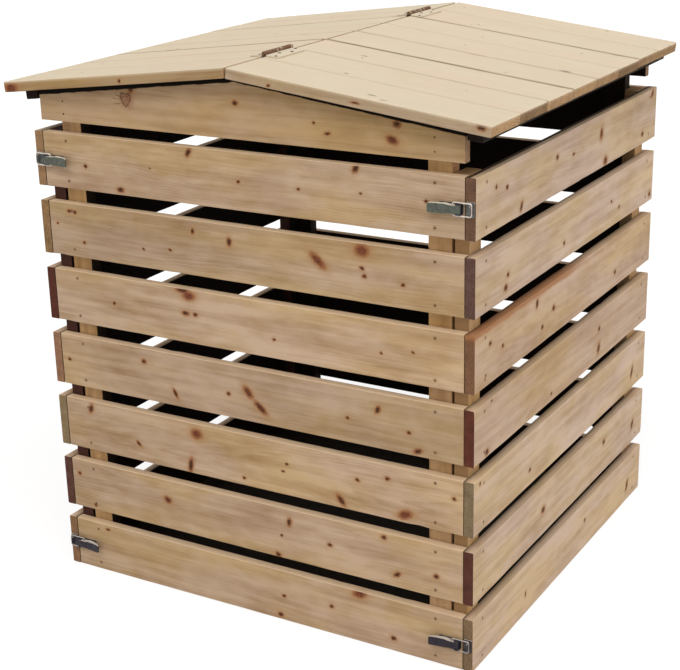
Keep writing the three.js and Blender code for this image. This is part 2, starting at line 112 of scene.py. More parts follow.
# Light: shares of the level at which a colour renders as it is written
AMBIENT = 0.57
# Suns: strength, then azimuth, elevation and width in degrees
KEY_SUN = (1.08, 10, 52, 35)
FILL_SUN = (1.0, 72, 40, 50)
FLOOR_SIZE = 40.0
FLOOR_HEIGHT = -0.0005
FLOOR_WHITE = 0.93
FLOOR_GLOW = 1.15
FLOOR_GLOW_SHARE = 0.62
# A near-black patch under the bin: painted shade for its inside
SHADE_PATCH_REACH = 6.0
SHADE_PATCH_HEIGHT = 0.0001
SHADE_PATCH_COLORS = ((0.012, 0.008, 0.005), (0.05, 0.035, 0.022))

# Knots read off the photograph: share along the board, share across it, radius in mm,
# and where the knot is drawn out, the turn of its long axis in degrees and the stretch
KNOTS = {
    "front_gable": (
        (0.5, 0.6, 3.5), (0.68, 0.4, 2), (0.71, 0.25, 2.5, 10, 2),
        (0.86, 0.5, 4.8), (0.85, 0.25, 5.5, -20, 1.6), (0.245, 0.68, 5, 60, 1.3),
    ),
    "front_slat_1": (
        (0.11, 0.45, 2.8), (0.2, 0.1, 4, 0, 1.6), (0.28, 0.55, 1.6), (0.38, 0.9, 4.2, 60, 1.7),
        (0.5, 0.5, 2.4), (0.64, 0.5, 2.2), (0.77, 0.95, 4.4, 60, 1.7), (0.78, 0.55, 1.8),
        (0.92, 0.55, 2.2),
    ),
    "front_slat_2": (
        (0.055, 0.85, 3.2), (0.07, 0.84, 3), (0.02, 0.6, 2), (0.09, 0.3, 2.4), (0.25, 0.35, 2),
        (0.32, 0.4, 2.4), (0.38, 0.8, 2.8, 80, 1.6), (0.47, 0.7, 4.2, 90, 1.6),
        (0.68, 0.6, 6, -40, 2.4), (0.78, 0.88, 8.5), (0.78, 0.58, 3), (0.785, 0.45, 3),
        (0.87, 0.4, 2.6),
    ),
    "front_slat_3": (
        (0.16, 0.5, 2.4), (0.345, 0.97, 5, 0, 2.4), (0.36, 0.88, 7, 0, 1.5),
        (0.35, 0.55, 4, 0, 1.6), (0.375, 0.55, 3.2), (0.57, 0.35, 2.2), (0.82, 0.45, 2),
        (0.89, 0.55, 2),
    ),
    "front_slat_4": (
        (0.02, 0.5, 2.6), (0.23, 0.75, 3.8), (0.31, 0.25, 3.2, -60, 2.6), (0.45, 0.45, 3),
        (0.5, 0.55, 5.5, -50, 2), (0.53, 0.3, 5.2, -40, 2.6), (0.74, 0.45, 2.4),
        (0.81, 0.7, 4, 60, 1.6), (0.88, 0.4, 3), (0.9, 0.1, 4, 20, 1.8),
    ),
    "front_slat_5": (
        (0.07, 0.85, 4.2, 70, 1.8), (0.2, 0.35, 3, -40, 1.8), (0.36, 0.8, 7.8),
        (0.34, 0.15, 4.4, 80, 3), (0.48, 0.15, 2.4), (0.59, 0.6, 2.4), (0.58, 0.45, 2.2),
        (0.76, 0.6, 2.8), (0.83, 0.75, 3.2), (0.72, 0.15, 5, -50, 2), (0.87, 0.15, 6.2, 20, 1.8),
        (0.98, 0.65, 2.6),
    ),
    "front_slat_6": (
        (0.02, 0.7, 3), (0.06, 0.1, 2.6), (0.27, 0.6, 5.4, -30, 1.3), (0.57, 0.45, 2),
        (0.59, 0.75, 4, 80, 1.8), (0.69, 0.5, 3.2), (0.56, 0.05, 4), (0.82, 0.9, 3.6),
        (0.85, 0.25, 3.6, 30, 1.8), (0.94, 0.4, 3.6),
    ),
    "front_slat_7": (
        (0.09, 0.9, 2.2, 0, 2), (0.57, 0.5, 2.8), (0.56, 0.1, 4),
        (0.69, 0.55, 3.2), (0.76, 0.95, 6.2, 10, 1.8), (0.84, 0.25, 3.6),
    ),
    "right_slat_1": (
        (0.09, 0.7, 2.6), (0.14, 0.6, 3), (0.21, 0.15, 3.8, 60, 1.8), (0.39, 0.65, 3.6),
        (0.48, 0.55, 2, 0, 2.2), (0.64, 0.65, 5.6, 80, 1.4), (0.67, 0.1, 5.8), (0.91, 0.2, 4),
        (0.97, 0.9, 4, 40, 1.8),
    ),
    "right_slat_2": (
        (0.14, 0.2, 4.4), (0.15, 0.4, 3.2), (0.44, 0.3, 3), (0.72, 0.5, 2.2, -30, 1.8),
        (0.77, 0.3, 2.6), (0.98, 0.15, 4),
    ),
    "right_slat_3": (
        (0.05, 0.2, 2), (0.07, 0.7, 3.2), (0.13, 0.5, 3), (0.3, 0.8, 4.4, 80, 1.5),
        (0.33, 0.3, 3.4), (0.39, 0.5, 4), (0.76, 0.3, 3.8),
    ),
    "right_slat_4": (
        (0.06, 0.1, 4.4), (0.08, 0.95, 2), (0.39, 0.15, 2.4), (0.67, 0.65, 3.8),
        (0.67, 0.25, 5.2, 70, 1.6),
    ),
    "right_slat_5": ((0.03, 0.9, 2.4), (0.28, 0.3, 3), (0.91, 0.35, 4, 70, 2.6)),
    "right_slat_6": ((0.36, 0.5, 5.2), (0.73, 0.65, 4.2), (0.93, 0.4, 4.2, 60, 2)),
    "right_slat_7": ((0.27, 0.4, 2.6, 80, 1.6), (0.62, 0.6, 3), (0.91, 0.35, 4.2, 70, 2.4)),
    "roof_fixed_4": ((0.71, 0.86, 4.2), (0.3, 0.7, 2)),
    "roof_lid_1": ((0.54, 0.25, 3.4, 0, 3), (0.6, 0.12, 2.6, 10, 3)),
    "roof_lid_2": ((0.33, 0.13, 3, 0, 2), (0.74, 0.6, 2)),
    "roof_lid_3": ((0.24, 0.4, 3, 0, 2.5), (0.25, 0.24, 2.4)),
    "roof_lid_5": ((0.87, 0.05, 5, 0, 2.6), (0.41, 0.55, 2)),
}
# Knots that show on the front edge of a roof board: share along it, height in mm over the
# middle of the edge, radius and stretch
EDGE_KNOTS = {
    "roof_fixed_1": ((0.45, -2.0, 2.8, 1.0), (0.965, -3.0, 8.0, 1.5)),
    "roof_lid_1": ((0.177, -4.0, 2.2, 1.3), (0.51, -1.0, 1.7, 3.6), (0.965, 4.0, 4.0, 1.6)),
}
# The large knot of the front gable, shaped like a heart, with cracks that fan out
HEART_ALONG, HEART_ACROSS, HEART_RADIUS = 0.23, 0.47, 9.5

X, Y, Z = Vector((1, 0, 0)), Vector((0, 1, 0)), Vector((0, 0, 1))
# Each wall: along, out, body, kind of timber, material slot
WALLS = {
    "front": (X, -Y, "front_panel", "end", "end_timber"),
    "back": (-X, Y, "bin", "end", "end_timber"),
    "left": (-Y, -X, "bin", "side", "side_timber"),
    "right": (Y, X, "bin", "side", "side_timber"),
}
SLAT_ROWS = 7
# Each roof half: which side of the ridge it is on, and its body
ROOF_HALVES = (("fixed", -1, "bin"), ("lid", 1, "lid"))
# The quarters of a section or a loop, counter-clockwise: the signs of their two axes
QUARTERS = ((1, 1), (-1, 1), (-1, -1), (1, -1))


# Shader graph helpers

def operation(name, swapped=False):
    """A method of Value that adds the node of one operator."""
    def joined(self, other):
        pair = (other, self) if swapped else (self, other)
        return self.graph.join(name, *pair)
    return joined


class Value:
    """A socket to reckon with: operators and methods add nodes and give their output."""

    __add__ = __radd__ = operation("ADD")
    __sub__ = operation("SUBTRACT")
    __rsub__ = operation("SUBTRACT", swapped=True)
    __mul__ = __rmul__ = operation("MULTIPLY")
    __truediv__ = operation("DIVIDE")
    __pow__ = operation("POWER")

    def __init__(self, graph, socket):
        self.graph = graph
        self.socket = socket

    def __abs__(self):
        return self.apply("ABSOLUTE")

    def apply(self, name, *others):
        return self.graph.join(name, self, *others)

    def clamped(self):
        """Holds what its node gives between 0 and 1."""
        self.socket.node.use_clamp = True
        return self

    def parts(self):
        split = self.graph.node("SeparateXYZ", self)
        return [Value(self.graph, socket) for socket in split.outputs]

    def rise(self, start, end):
        """0 at start, 1 at end, with a smooth step between."""
        step = self.graph.node("MapRange", self, start, end, interpolation_type="SMOOTHSTEP")
        return Value(self.graph, step.outputs[0])

    def mix(self, first, second):
        """The first colour where this is 0, the second where it is 1."""
        made = self.graph.node("Mix", self, data_type="RGBA")
        self.graph.feed(made.inputs[6], first)
        self.graph.feed(made.inputs[7], second)
        return Value(self.graph, made.outputs[2])

    def noise(self, scale, detail, roughness=0.5, output=0):
        """Noise of about 0.3 to 0.7 round 0.5, in a space stretched by scale. Output 0 is
        its value and 1 its colour."""
        made = self.graph.node("TexNoise")
        self.graph.fill(made, {"Vector": self * scale, "Scale": 1.0, "Detail": detail,
                               "Roughness": roughness})
        return Value(self.graph, made.outputs[output])

    def swing(self, scale, detail):
        """The same noise, centred on zero and spread to about -1 to 1."""
        return self.noise(scale, detail).apply("MULTIPLY_ADD", 4.0, -2.0)


class Graph:
    """Adds nodes to a shader tree. An input may be a number, a tuple, a socket or a Value."""

    def __init__(self, tree):
        self.tree = tree
        tree.nodes.clear()

    def node(self, kind, *inputs, **settings):
        made = self.tree.nodes.new("ShaderNode" + kind)
        for key, value in settings.items():
            setattr(made, key, value)
        for socket, value in zip(made.inputs, inputs):
            self.feed(socket, value)
        return made

    def feed(self, socket, value):
        source = value.socket if isinstance(value, Value) else value
        if isinstance(source, bpy.types.NodeSocket):
            self.tree.links.new(source, socket)
        elif socket.type == "RGBA":
            socket.default_value = (*source[:3], 1.0)
        else:
            socket.default_value = source

    def fill(self, node, values):
        for label, value in values.items():
            self.feed(node.inputs[label], value)

    def join(self, name, *values):
        """One Math node, or a VectorMath node where a value is a vector or a colour."""
        label = "Value"
        kind = "Math"
        if any(isinstance(value, Value) and value.socket.type != "VALUE" for value in values):
            kind = "VectorMath"
            label = "Value" if name in ("LENGTH", "DOT_PRODUCT") else "Vector"
            values = [(value,) * 3 if isinstance(value, (int, float)) else value
                      for value in values]
        return Value(self, self.node(kind, *values, operation=name).outputs[label])

    def coordinates(self):
        """The place on a piece in mm, and the normal, both along the piece's own axes."""
        texture = self.node("TexCoord").outputs
        return Value(self, texture["Object"]) * (1 / MM), Value(self, texture["Normal"])

    def call(self, group, **inputs):
        made = self.node("Group", node_tree=group)
        self.fill(made, inputs)
        return {socket.name: Value(self, socket) for socket in made.outputs}

    def give(self, **values):
        """Feeds the outputs of the group that this graph is."""
        self.fill(self.tree.nodes.new("NodeGroupOutput"), values)


def new_group(name, inputs, outputs):
    """An empty node group, its graph and its inputs. Sockets are named by type."""
    group = bpy.data.node_groups.new(name, "ShaderNodeTree")
    graph = Graph(group)
    for direction, labels in (("INPUT", inputs), ("OUTPUT", outputs)):
        for kind, words in labels.items():
            for label in words.split():
                group.interface.new_socket(
                    label, in_out=direction, socket_type="NodeSocket" + kind)
    entry = group.nodes.new("NodeGroupInput")
    return group, graph, {socket.name: Value(graph, socket) for socket in entry.outputs}


def new_material(name):
    material = bpy.data.materials.new(name)
    material.use_nodes = True
    graph = Graph(material.node_tree)
    shader = graph.node("BsdfPrincipled")
    graph.node("OutputMaterial", shader.outputs[0])
    return material, graph, shader


# Timber

# Linear colours: early wood, late wood and end grain of each kind of timber, how strong
# its rings are, how much painted light its upper edge takes, how much painted shade its
# inner face takes, and how much painted light and shade its sides take
TIMBER_KINDS = {
    # end: the same wood as side, its colours darker in part as painted shade on the end walls
    "end": ((0.495, 0.355, 0.228), (0.245, 0.14, 0.065), (0.3, 0.18, 0.1),
            0.3, 0.78, 1.0, 0.0),
    "gable": ((0.45, 0.305, 0.168), (0.22, 0.12, 0.05), (0.3, 0.18, 0.1),
              0.3, 0.3, 1.0, 0.0),
    "side": ((0.57, 0.43, 0.312), (0.32, 0.205, 0.125), (0.2, 0.12, 0.08),
             0.22, 0.3, 1.0, 0.0),
    "batten": ((0.55, 0.355, 0.178), (0.28, 0.15, 0.064), (0.2, 0.12, 0.07),
               0.4, 0.0, 1.0, 1.0),
    # Laths: painted near black as the shade under the roof
    "lath": ((0.022, 0.015, 0.01), (0.014, 0.009, 0.006), (0.02, 0.013, 0.01),
             0.3, 0.0, 0.0, 0.0),
    "roof": ((0.45, 0.335, 0.205), (0.25, 0.145, 0.07), (0.37, 0.225, 0.115),
             0.45, 0.0, 0.9, 0.0),
}
ROOF_PALE, ROOF_ROSY = (0.735, 0.63, 0.46), (0.745, 0.605, 0.45)
SEAM_DIRT = (0.27, 0.18, 0.105)
NAIL_STAIN = (0.2, 0.11, 0.055)
# Painted shade: the near-black colour of the inner faces
INNER_SHADE_COLOR = (0.015, 0.009, 0.006)
# Painted light: the pale colour of the upward faces
CREST_LIGHT_COLOR = (0.74, 0.54, 0.35)
# Two tints that the timber drifts between
TINT_ROSY, TINT_YELLOW = (1.01, 0.995, 1.05), (1.0, 0.96, 0.8)
# A knot from its surroundings to its core, whose colour is ruddy where the knot is big
KNOT_HALO, KNOT_RIM = (0.36, 0.19, 0.08), (0.25, 0.09, 0.035)
KNOT_BLACK = (0.05, 0.02, 0.011)
KNOT_RUDDY, KNOT_DEEP = (0.19, 0.055, 0.026), (0.08, 0.024, 0.014)
# The shares by which the front edges of the two roof halves are darker
FASCIA_TONES = {"fixed": (0.82, 0.74, 0.6), "lid": (0.97, 0.98, 1.0)}
# How light each row of slats is, how much lighter it gets toward its right end, and its
# end grain at the front corners
ROW_TONES = {
    "front": (1.0, 0.93, 1.04, 0.92, 1.0, 0.97, 0.95),
    "right": (0.96, 1.0, (0.93, 0.89, 0.84), (0.92, 0.88, 0.82), 1.01, 0.98, 1.0),
}
ROW_LEANS = {
    "front": (0.02, 0.11, 0.1, -0.02, 0.08, 0.05, 0.04),
    "right": (-0.02, 0.02, 0.0, -0.02, 0.01, -0.01, 0.0),
}
END_TONES = {
    "left": ((0.31, 0.18, 0.09), (0.26, 0.15, 0.07), (0.09, 0.03, 0.02), (0.27, 0.14, 0.08),
             (0.23, 0.16, 0.085), (0.1, 0.045, 0.033), (0.23, 0.125, 0.065)),
    "right": ((0.165, 0.088, 0.053), (0.12, 0.065, 0.05), (0.19, 0.095, 0.05), (0.11, 0.035, 0.022),
              (0.21, 0.15, 0.085), (0.1, 0.038, 0.027), (0.2, 0.125, 0.07)),
}
# Painted light and shade on the faces of the battens that look sideways, by wall or by batten
BATTEN_SIDE_LIGHT_AND_SHADE = {"left": (0.07, 0.03, 0.022), "right": (0.34, 0.2, 0.092),
                "front_batten_right": (0.5, 0.26, 0.12)}
# Painted shade for the sideways faces of the other battens
BATTEN_SIDE_SHADE = (0.03, 0.018, 0.012)
# The shadow line under the roof's overhang: its height at the peak and at the ends, and
# how much it gains from the middle to the right end
BROW_PEAK, BROW_END, BROW_LEAN = 7.0, 9.5, 1.0
BROW_SHADOW_COLOR = (0.004, 0.002, 0.001)
# Painted shade on the upper edges of the side slats: where it begins and where it is full,
# in mm out from the middle of the edge, and its share. The first is for a slat under the eave.
EDGE_SHADE = {"sheltered": (1.5, -2.5, 0.92), "open": (2.0, -9.0, 0.5)}
EDGE_SHADE_COLOR = (0.025, 0.012, 0.007)
# The resin streak along one side slat's upper edge: its height in mm, and the shares of
# the slat's length where it fades out
STREAK_NODE, STREAK_HEIGHT, STREAK_FADE = "right_slat_3", 13.0, (-0.08, 0.14)
STREAK_COLOR = (0.34, 0.145, 0.06)
# Metals: colour, roughness, share and colour of the tarnish, colour of the painted
# highlight on faces that look up, how metallic and how glossy
HIGHLIGHT_BRIGHT, HIGHLIGHT_DULL = (0.85, 0.82, 0.7), (0.5, 0.45, 0.4)
METALS = {
    "zinc": ((0.09, 0.1, 0.075), 0.45, 0.6, (0.05, 0.058, 0.045), HIGHLIGHT_BRIGHT, 0.4, 0.5),
    "stained_zinc": ((0.024, 0.018, 0.026), 0.4, 0.6, (0.014, 0.01, 0.015), HIGHLIGHT_DULL, 0.0, 0.2),
    "dark_zinc": ((0.04, 0.042, 0.06), 0.3, 0.7, (0.02, 0.02, 0.03), None, 0.4, 0.5),
    "hook_zinc": ((0.15, 0.15, 0.14), 0.4, 0.8, (0.08, 0.08, 0.075), HIGHLIGHT_BRIGHT, 0.4, 0.5),
    "stained_hook": ((0.045, 0.038, 0.042), 0.4, 0.8, (0.025, 0.02, 0.025), HIGHLIGHT_DULL, 0.0, 0.3),
    "wire": ((0.62, 0.52, 0.46), 0.3, 0.5, (0.25, 0.2, 0.19), HIGHLIGHT_BRIGHT, 0.4, 0.5),
    "stained_wire": ((0.24, 0.2, 0.18), 0.4, 0.7, (0.08, 0.065, 0.06), HIGHLIGHT_DULL, 0.4, 0.5),
    "hinge": ((0.67, 0.57, 0.42), 0.6, 0.95, (0.15, 0.068, 0.032), None, 0.0, 0.2),
    "nail": ((0.11, 0.055, 0.03), 0.6, 0.9, (0.07, 0.035, 0.02), None, 0.0, 0.2),
    "rust": ((0.1, 0.035, 0.022), 0.6, 0.9, (0.06, 0.022, 0.015), None, 0.0, 0.2),
}
# The metals of a latch's lever, strike and wire, by row
LATCH_METALS = {
    "top": ("zinc", "hook_zinc", "wire"),
    "bottom": ("stained_zinc", "stained_hook", "stained_wire"),
}


def build_knot_group():
    """One knot: pushes the grain aside, and keeps the nearest knot's distance in radii
    and its radius. First and Second are its long and short axes."""
    group, graph, given = new_group(
        "knot",
        {"Vector": "Coordinate Place First Second", "Float": "Radius Warp Share Size"},
        {"Float": "Warp Share Size"})
    offset = given["Coordinate"] - given["Place"]
    _, across, _ = offset.parts()
    first = offset.apply("DOT_PRODUCT", given["First"])
    second = offset.apply("DOT_PRODUCT", given["Second"])
    distance = (first * first + second * second).apply("SQRT")
    drawn_out = offset * (0.35, 1.0, 0.0)
    reach = drawn_out.apply("DOT_PRODUCT", drawn_out)
    area = given["Radius"] * given["Radius"]
    push = area / (area * 0.3 + reach)
    share = distance / given["Radius"]
    nearer = share.apply("LESS_THAN", given["Share"])
    growth = given["Radius"] - given["Size"]
    graph.give(Warp=across * push + given["Warp"],
               Share=share.apply("MINIMUM", given["Share"]),
               Size=nearer * growth + given["Size"])
    return group


def build_timber_group():
    """Growth rings, fibres, blotches, knots and end grain over board coordinates in mm."""
    group, graph, given = new_group(
        "timber",
        {"Vector": "Coordinate Normal Seed Pith", "Color": "Early Late End Side",
         "Float": "Warp Share Size Pitch Grain Crest Inner Sides Lean"},
        {"Color": "Color", "Float": "Roughness Height Core"})
    here = given["Coordinate"] + given["Seed"]
    along, across, depth = given["Coordinate"].parts()
    pith_across, pith_depth, slant = given["Pith"].parts()

    # Rings round the pith, each pale at first and dark at its end
    grain = here.swing((0.004, 0.002, 0.002), 3.0) * 9.0 + (across - given["Warp"])
    side = grain - pith_across
    heart = depth - (along * slant + pith_depth)
    radius = (side * side + heart * heart).apply("SQRT")
    jitter = here.swing((0.006, 0.15, 0.15), 2.0)
    ring = (jitter * 0.35 + radius / given["Pitch"]).apply("FRACT")
    late = ring ** 2.0 * ring.rise(1.0, 0.88)
    fading = (here.swing((0.005, 0.03, 0.03), 1.0) * 0.45 + 0.6).clamped()

    fibre = here.swing((0.012, 0.9, 0.9), 3.0)
    fine = here.swing((0.05, 3.5, 3.5), 2.0)
    streak = here.swing((0.0035, 0.08, 0.06), 3.0)
    mottle = here.swing((0.025, 0.06, 0.05), 3.0)
    blotch = here.swing((0.006, 0.016, 0.016), 2.0)
    patch = here.swing((0.004, 0.012, 0.012), 2.0)
    shade = late * fading * given["Grain"]
    for wave, weight in ((fibre, 0.1), (fine, 0.06), (streak, 0.26), (mottle, 0.14),
                         (blotch, 0.26)):
        shade = wave * weight + shade
    color = (shade + 0.2).clamped().mix(given["Early"], given["Late"])
    tint = (mottle * 0.35 + (patch * 1.1 + 0.5)).clamped()
    color = color * tint.mix(TINT_ROSY, TINT_YELLOW) * (along * given["Lean"] + 1.0)

    share = given["Share"]
    big = given["Size"].rise(4.6, 6.2)
    halo = share.rise(3.6, 1.0) ** 1.7
    color = (halo * (big * 0.2 + 0.5)).mix(color, KNOT_HALO)
    color = (share.rise(1.75, 1.0) * 0.8).mix(color, KNOT_RIM)
    core = share.rise(1.1, 0.55)
    ruddy = here.noise(0.4, 2.0).rise(0.42, 0.6).mix(KNOT_RUDDY, KNOT_DEEP)
    color = (core * 0.9).mix(color, big.mix(KNOT_BLACK, ruddy))

    face_x, face_y, face_z = given["Normal"].parts()
    # Painted light on the faces that look up
    color = (face_y.rise(0.25, 0.8) * given["Crest"]).mix(color, CREST_LIGHT_COLOR)
    end = abs(face_x).rise(0.5, 0.85)
    pores = mottle * 0.2 + (here.noise(0.6, 3.0) * 1.4 + 0.35)
    color = end.mix(color, given["End"] * (late * -0.45 + pores))
    # Painted light and shade on the faces that look sideways, as far as Sides asks
    color = (face_z.rise(0.7, 0.3) * given["Sides"]).mix(color, given["Side"])
    # Inner faces are painted near black for the shade inside the bin and under the roof, but for their
    # rounded ends
    stain_and_shade = face_z.rise(-0.4, -0.8) * given["Inner"] * (1.0 - end)
    color = stain_and_shade.mix(color, INNER_SHADE_COLOR)

    height = fine * 0.25 + (fibre * 0.25 + late * 0.6)
    graph.give(Color=color, Roughness=(end * 0.2 + (fibre * 0.05 + 0.68)).clamped(),
               Height=core + height, Core=core)
    return group


KNOT = build_knot_group()
TIMBER = build_timber_group()


def random_knots(rng, kind):
    if kind in ("batten", "lath"):
        return ()
    sizes, most = ((2, 2.6), 2) if kind == "roof" else ((2, 2.8, 3.6, 5.5), 6)
    return [(rng.uniform(0.03, 0.97), rng.uniform(0.08, 0.92), rng.choice(sizes),
             rng.uniform(-80, 80), rng.uniform(1.0, 2.0)) for _ in range(rng.randint(most // 2, most))]


def tinted(color, tone):
    """tone is one share, or one for each channel."""
    shares = tone if isinstance(tone, tuple) else (tone,) * 3
    return tuple(channel * share for channel, share in zip(color, shares))


def spot_on(size, along, across, height=0.0):
    """The place in mm of a point given by its shares along and across a board."""
    return ((along - 0.5) * size[0], (across - 0.5) * size[1], height)


def knots_into(graph, place, name, kind, size, rng):
    """Chains the knots of one board. Returns what the timber group asks of them."""
    knots = []
    for along, across, radius, *drawn in KNOTS.get(name) or random_knots(rng, kind):
        turn, stretch = drawn or (0, 1.25)
        cosine, sine = math.cos(math.radians(turn)), math.sin(math.radians(turn))
        knots.append((radius, spot_on(size, along, across),
                      (cosine / stretch, sine / stretch, 0.0), (-sine, cosine, 0.0)))
    for along, height, radius, stretch in EDGE_KNOTS.get(name, ()):
        knots.append((radius, spot_on(size, along, 0.5, height),
                      (1 / stretch, 0.0, 0.0), (0.0, 0.0, 1.0)))
    found = {"Warp": 0.0, "Share": 50.0, "Size": 3.0}
    for radius, spot, first, second in knots:
        found = graph.call(
            KNOT, Coordinate=place, Radius=radius, Place=spot, First=first, Second=second,
            **found)
    return found


def heart_knot(place, color, size):
    """The heart-shaped knot: a dark outline, a ruddy inside and fine cracks round it."""
    offset = place - spot_on(size, HEART_ALONG, HEART_ACROSS)
    offset = offset * (1 / HEART_RADIUS, 1 / HEART_RADIUS, 0.0)
    along, across, _ = offset.parts()
    lobed = across + abs(along) * -0.6
    share = (along * along + lobed * lobed).apply("SQRT")
    spread = offset.apply("LENGTH")
    smudge = place.swing(0.15, 3.0)
    halo = (smudge * 0.25 + spread.rise(2.6, 0.9)).clamped() * spread.rise(3.2, 2.2)
    ruddy = along.rise(-0.6, 1.0).mix((0.36, 0.21, 0.11), (0.27, 0.1, 0.06))
    color = (halo * 0.55).mix(color, ruddy)
    turn = across.apply("ARCTAN2", along)
    fan = (place.swing(0.07, 2.0) * 2.2 + turn * 15.0).apply("SINE")
    cracks = fan.rise(0.6, 0.98) * spread.rise(3.6, 1.8)
    cracks = cracks * abs(across).rise(1.5, 0.7) * along.rise(1.6, -0.6)
    color = (cracks * 0.75).mix(color, (0.15, 0.07, 0.035))
    veins = (smudge * 1.5 + share * 13.0).apply("SINE")
    pith = veins.rise(0.0, 0.9).mix((0.31, 0.15, 0.08), (0.15, 0.06, 0.035))
    color = (share.rise(1.15, 0.7) * 0.75).mix(color, pith)
    edge = abs(share - 1.05).rise(0.3, 0.05)
    return (edge * (smudge * 0.4 + 0.7).clamped()).mix(color, (0.1, 0.04, 0.025))


def shadow_line(place, color, size, end_height):
    """Painted shadow under the overhang: a dark line along a gable board's upper edge."""
    length, width, _ = size
    along, across, _ = place.parts()
    toward_end = along / (length / 2)
    reach = abs(toward_end)
    top = reach * (end_height - width) + width / 2
    depth = toward_end * BROW_LEAN + (reach * (BROW_END - BROW_PEAK) + BROW_PEAK)
    depth = place.swing(0.06, 2.0) * 0.8 + depth
    gap = top - across - depth
    return gap.rise(1.2, -0.6).mix(color, BROW_SHADOW_COLOR)


def resin_streak(place, shifted, color, size):
    """An orange-brown streak along the upper edge, over the edge itself too."""
    length, width, _ = size
    along, across, _ = place.parts()
    height = shifted.swing((0.02, 0.05, 0.05), 2.0) * 3.0 + across
    streak = height.rise(width / 2 - STREAK_HEIGHT, width / 2 - STREAK_HEIGHT * 0.3)
    begins, ends = (share * length for share in STREAK_FADE)
    return (streak * along.rise(ends, begins) * 0.85).mix(color, STREAK_COLOR)


def roof_finish(place, shifted, color, core, normal, size, stains):
    """The pale, weathered top of a roof board, with dark stains along its two seams."""
    _, _, up = normal.parts()
    _, across, height = place.parts()
    worn = shifted.swing((0.01, 0.05, 0.05), 3.0)
    rosy = shifted.swing((0.004, 0.012, 0.012), 2.0)
    pale = (rosy * 0.6 + 0.4).clamped().mix(ROOF_PALE, ROOF_ROSY)
    bleach = (worn * 0.04 + (core * -0.65 + 0.93)).clamped() * up.rise(0.2, 0.6)
    # The upper part of each edge is mixed a little toward the pale top too
    upper_pale_share = height.rise(3.0, 9.0) * 0.4
    color = bleach.apply("MAXIMUM", upper_pale_share).mix(color, pale)
    for edge, stain_and_shade in zip((-1, 1), stains):
        near = across * edge - size[1] / 2
        dirt = near.rise(-SEAM_REACH, 0.0) * stain_and_shade * (worn * 0.4 + 0.8).clamped()
        color = (dirt * up.rise(0.0, 0.5)).mix(color, SEAM_DIRT)
    return color


def timber_material(name, kind, size, nails=None, end_tone=None, tone=1.0, lean=0.0,
                    side=BATTEN_SIDE_SHADE, end_height=None, stains=(0, 0), edge_dirt=None):
    """A board's own softwood. nails is the place of its nail heads from its centre,
    end_height is what a gable board measures at its ends, and edge_dirt names the painted
    shade on its upper edge."""
    rng = random.Random(f"{SEED} {name}")
    length, width, _ = size
    early, late, end, rings, crest, inner, sides = TIMBER_KINDS[kind]
    material, graph, shader = new_material(name + "_wood")
    place, normal = graph.coordinates()
    seed = tuple(rng.uniform(-5000, 5000) for _ in range(3))
    shifted = place + seed
    knot_place = place + (shifted.noise(0.22, 2.0, output=1) * 5.0 - 2.5)

    pith = (rng.uniform(-0.7, 0.7) * width, -rng.uniform(35, 110), rng.uniform(-0.05, 0.05))
    pitch = rng.uniform(3.2, 5.5)
    wood = graph.call(
        TIMBER, Coordinate=place, Normal=normal, Seed=seed, Pith=pith, Pitch=pitch, Grain=rings,
        Early=tinted(early, tone), Late=tinted(late, tone), End=end_tone or end, Crest=crest,
        Inner=inner, Sides=sides, Side=side, Lean=lean / (length / 2),
        **knots_into(graph, knot_place, name, kind, size, rng))
    color, height = wood["Color"], wood["Height"]

    if name == "front_gable":
        color = heart_knot(knot_place, color, size)
        # A painted shadow along the front gable's upper edge, under the roof's overhang
        color = shadow_line(place, color, size, end_height)
    if name == STREAK_NODE:
        color = resin_streak(place, shifted, color, size)
    # Painted shade on the upper faces of the side slats, darker toward their inner side
    if edge_dirt:
        begins, full, share = EDGE_SHADE[edge_dirt]
        dirt = normal.parts()[1].rise(0.4, 0.8) * place.parts()[2].rise(begins, full) * share
        color = dirt.mix(color, EDGE_SHADE_COLOR)
    if kind == "roof":
        color = roof_finish(place, shifted, color, wood["Core"], normal, size, stains)
    if kind == "batten":
        height = (shifted.parts()[0] * 2.1).apply("SINE") * 0.8 + height
    if nails:
        aside = (abs(place) - (*nails, 0.0)) * (1.0, 1.0, 0.0)
        color = (aside.apply("LENGTH").rise(5.0, 1.6) * 0.6).mix(color, NAIL_STAIN)

    bump = graph.node("Bump")
    graph.fill(bump, {"Strength": 0.6, "Distance": 0.4 * MM, "Height": height})
    graph.fill(shader, {"Base Color": color, "Roughness": wood["Roughness"],
                        "Specular IOR Level": 0.06, "Normal": bump.outputs[0]})
    return material


def board_section(width, thickness):
    """The outline of a board's cross-section and, for each point, its arris or none."""
    half_w = width / 2 - SKIN - ARRIS_RADIUS
    half_t = thickness / 2 - SKIN - ARRIS_RADIUS

    def on_arris(side, face, angle):
        return (side * half_w + ARRIS_RADIUS * math.cos(angle),
                face * half_t + ARRIS_RADIUS * math.sin(angle))

    points, arrises = [], []
    for quarter, (side, face) in enumerate(QUARTERS):
        for step in range(ARRIS_STEPS + 1):
            angle = math.pi / 2 * (quarter + step / ARRIS_STEPS)
            points.append(on_arris(side, face, angle))
            arrises.append(quarter)
        start = Vector(points[-1])
        end = Vector(on_arris(*QUARTERS[(quarter + 1) % 4], math.pi / 2 * (quarter + 1)))
        steps = max(1, round((end - start).length / FACE_STEP))
        for step in range(1, steps):
            points.append(tuple(start.lerp(end, step / steps)))
            arrises.append(None)
    return points, arrises


def board_stations(length, end_round):
    """Places along a board, in mm, and how far the section draws in at each."""
    half = length / 2 - SKIN
    ends = []
    for step in range(END_STEPS):
        angle = math.pi / 2 * step / END_STEPS
        ends.append((half - end_round * (1 - math.cos(angle)),
                     end_round * (1 - math.sin(angle))))
    inner = half - end_round
    count = max(2, round(2 * inner / STATION_STEP))
    middle = [(-inner + 2 * inner * step / count, 0.0) for step in range(count + 1)]
    return [(-x, pull) for x, pull in ends] + middle + list(reversed(ends))


